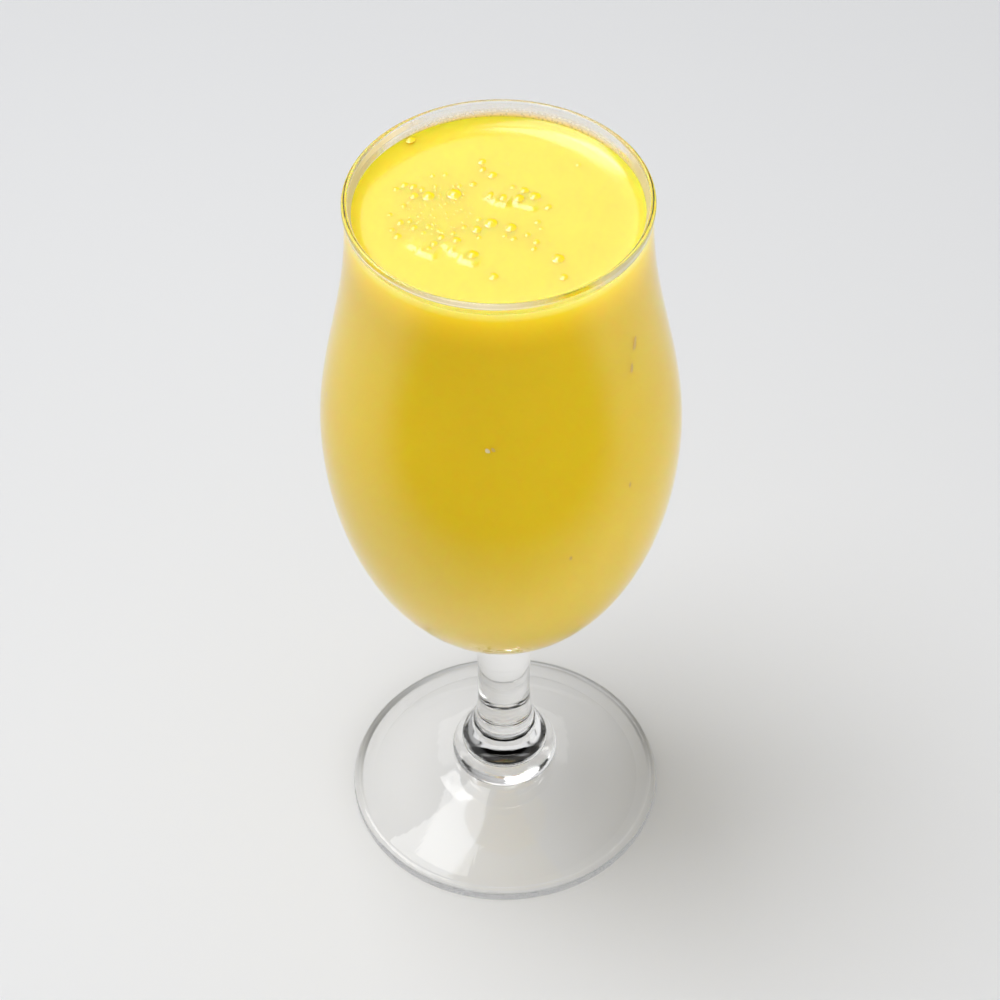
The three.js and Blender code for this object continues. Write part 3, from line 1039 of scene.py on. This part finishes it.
def pale_table():
    """Matt white. Only in mirrors and seen through glass is it painted dark, a painted reflection of a
    dark
    room: in mirrors from right in front of the foot, seen through glass from further out, and in both
    from about half a metre away all round."""
    material = bpy.data.materials.new("pale_table")
    material.use_nodes = True
    tree = material.node_tree
    tree.nodes.clear()
    place = add(tree, "ShaderNodeTexCoord").outputs["Object"]
    back = add(tree, "ShaderNodeSeparateXYZ", {0: place}).outputs["Y"]
    path = add(tree, "ShaderNodeLightPath").outputs
    near_end = add(
        tree,
        "ShaderNodeMapRange",
        {"Value": path["Is Transmission Ray"], "To Min": MIRRORED_END, "To Max": SEEN_THROUGH_END},
    )
    far_end = add(tree, "ShaderNodeMath", {0: near_end.outputs[0], 1: END_BLUR}, operation="ADD")
    in_front = add(
        tree,
        "ShaderNodeMapRange",
        {"Value": back, "From Min": near_end.outputs[0], "From Max": far_end.outputs[0]},
        interpolation_type="SMOOTHSTEP",
    )
    away = add(tree, "ShaderNodeVectorMath", {0: place}, operation="LENGTH")
    far = add(
        tree,
        "ShaderNodeMapRange",
        {"Value": away.outputs["Value"], "From Min": ALL_ROUND_END[0], "From Max": ALL_ROUND_END[1]},
    )
    past_edges = {0: in_front.outputs[0], 1: far.outputs[0]}
    dark_reflection_zone = add(tree, "ShaderNodeMath", past_edges, operation="MAXIMUM")
    indirect = add(
        tree,
        "ShaderNodeMath",
        {0: path["Is Glossy Ray"], 1: path["Is Transmission Ray"]},
        operation="MAXIMUM",
    )
    dark_in_reflections = {0: indirect.outputs[0], 1: dark_reflection_zone.outputs[0]}
    painted_dark_reflection = add(tree, "ShaderNodeMath", dark_in_reflections, operation="MULTIPLY")
    # painted reflection: dark where mirrors and glass would show the room beyond the table's set edges
    colour = add(
        tree,
        "ShaderNodeMix",
        {"Factor": painted_dark_reflection.outputs[0], "A": linear("#E9EAEC"), "B": linear("#2A2724")},
        data_type="RGBA",
    )
    table = add(tree, "ShaderNodeBsdfDiffuse", {"Color": colour.outputs["Result"]})
    add(tree, "ShaderNodeOutputMaterial", {"Surface": table.outputs[0]})
    return material


floor_mesh.materials.append(pale_table())


# Light
# One softbox high on the left and two broad fills in front light what is matt. Three more, above and
# behind, show only in what is glossy. The room is pale, but glossy things mirror it dark in front and
# low at the sides.
def softbox(name, centre, aim, width, depth, turn_degrees, radiance, in_mirrors):
    """An area light that faces a point. It either lights what is matt or shows in what is glossy."""
    lamp = bpy.data.lights.new(name, "AREA")
    lamp.shape = "RECTANGLE"
    lamp.size = width
    lamp.size_y = depth
    lamp.energy = radiance * math.pi * width * depth
    piece = bpy.data.objects.new(name, lamp)
    bpy.context.scene.collection.objects.link(piece)
    facing = (Vector(aim) - Vector(centre)).to_track_quat("-Z", "Y").to_matrix().to_4x4()
    turn = Matrix.Rotation(math.radians(turn_degrees), 4, "Z")
    piece.matrix_world = Matrix.Translation(centre) @ facing @ turn
    piece.visible_diffuse = not in_mirrors
    piece.visible_glossy = in_mirrors
    piece.visible_transmission = in_mirrors
    return piece


ABOVE_FOOT = (0, 0, 0.10)
softbox("key", (-0.21, 0.045, 0.80), ABOVE_FOOT, 0.40, 0.40, 25, 6.4, False)
softbox("left_fill", (-1.25, -0.75, 0.5), ABOVE_FOOT, 1.4, 0.9, 0, 0.62, False)
softbox("right_fill", (1.25, -0.65, 0.40), ABOVE_FOOT, 1.4, 0.9, 0, 1.85, False)
softbox("key_gloss", (-0.32, 0.18, 1.05), ABOVE_FOOT, 0.76, 0.46, 0, 2.6, True)
softbox("far_key_gloss", (-0.19, 0.59, 1.05), ABOVE_FOOT, 0.38, 0.26, 0, 4.4, True)
softbox("back_gloss", (-0.03, 1.25, 1.05), ABOVE_FOOT, 0.90, 0.70, 0, 1.1, True)

world = bpy.data.worlds.new("room")
world.use_nodes = True
bpy.context.scene.world = world
sky = world.node_tree
sky.nodes.clear()
direction = add(sky, "ShaderNodeTexCoord").outputs["Generated"]
parts = add(sky, "ShaderNodeSeparateXYZ", {0: direction}).outputs
towards_front = add(sky, "ShaderNodeMapRange", {"Value": parts["Y"], "From Min": -0.1, "From Max": -0.5})
towards_horizon = add(sky, "ShaderNodeMapRange", {"Value": parts["Z"], "From Min": 0.5, "From Max": 0.3})
beside = add(sky, "ShaderNodeMapRange", {"Value": parts["Y"], "From Min": 0.4, "From Max": 0.1})
low_and_beside = {0: towards_horizon.outputs[0], 1: beside.outputs[0]}
low_beside = add(sky, "ShaderNodeMath", low_and_beside, operation="MULTIPLY")
front_or_beside = {0: towards_front.outputs[0], 1: low_beside.outputs[0]}
dark_side = add(sky, "ShaderNodeMath", front_or_beside, operation="MAXIMUM")
matt_ray = add(sky, "ShaderNodeLightPath").outputs["Is Diffuse Ray"]
seen = add(sky, "ShaderNodeMath", {0: 1.0, 1: matt_ray}, operation="SUBTRACT")
darkened = add(sky, "ShaderNodeMath", {0: dark_side.outputs[0], 1: seen.outputs[0]}, operation="MULTIPLY")
from_left = add(
    sky,
    "ShaderNodeMapRange",
    {"Value": parts["X"], "From Min": -0.5, "From Max": 0.5, "To Min": 0.85, "To Max": 0.3},
)
pale = add(sky, "ShaderNodeMix", {"Factor": matt_ray, "A": from_left.outputs[0], "B": 0.45})
room = add(
    sky,
    "ShaderNodeMix",
    {"Factor": darkened.outputs[0], "B": (0.02, 0.018, 0.016, 1)},
    data_type="RGBA",
)
sky.links.new(pale.outputs["Result"], room.inputs["A"])
glow = add(sky, "ShaderNodeBackground", {"Color": room.outputs["Result"], "Strength": 1.0})
add(sky, "ShaderNodeOutputWorld", {"Surface": glow.outputs[0]})


# Camera
# It stands in front of the glass and looks down on it at about 46 degrees through a long lens.
CAMERA_PLACE = (0, -0.45497, 0.57458)
CAMERA_PITCH = 46.489
CAMERA_YAW = 0.0516
CAMERA_ROLL = -0.684
camera_data = bpy.data.cameras.new("camera")
camera_data.sensor_width = 36
camera_data.lens = 111.558
camera_data.clip_start = 0.01
camera = bpy.data.objects.new("camera", camera_data)
bpy.context.scene.collection.objects.link(camera)
camera.matrix_world = (
    Matrix.Translation(CAMERA_PLACE)
    @ Matrix.Rotation(math.radians(CAMERA_YAW), 4, "Z")
    @ Matrix.Rotation(math.radians(90 - CAMERA_PITCH), 4, "X")
    @ Matrix.Rotation(math.radians(CAMERA_ROLL), 4, "Z")
)
bpy.context.scene.camera = camera
bpy.context.scene.view_settings.view_transform = "Standard"
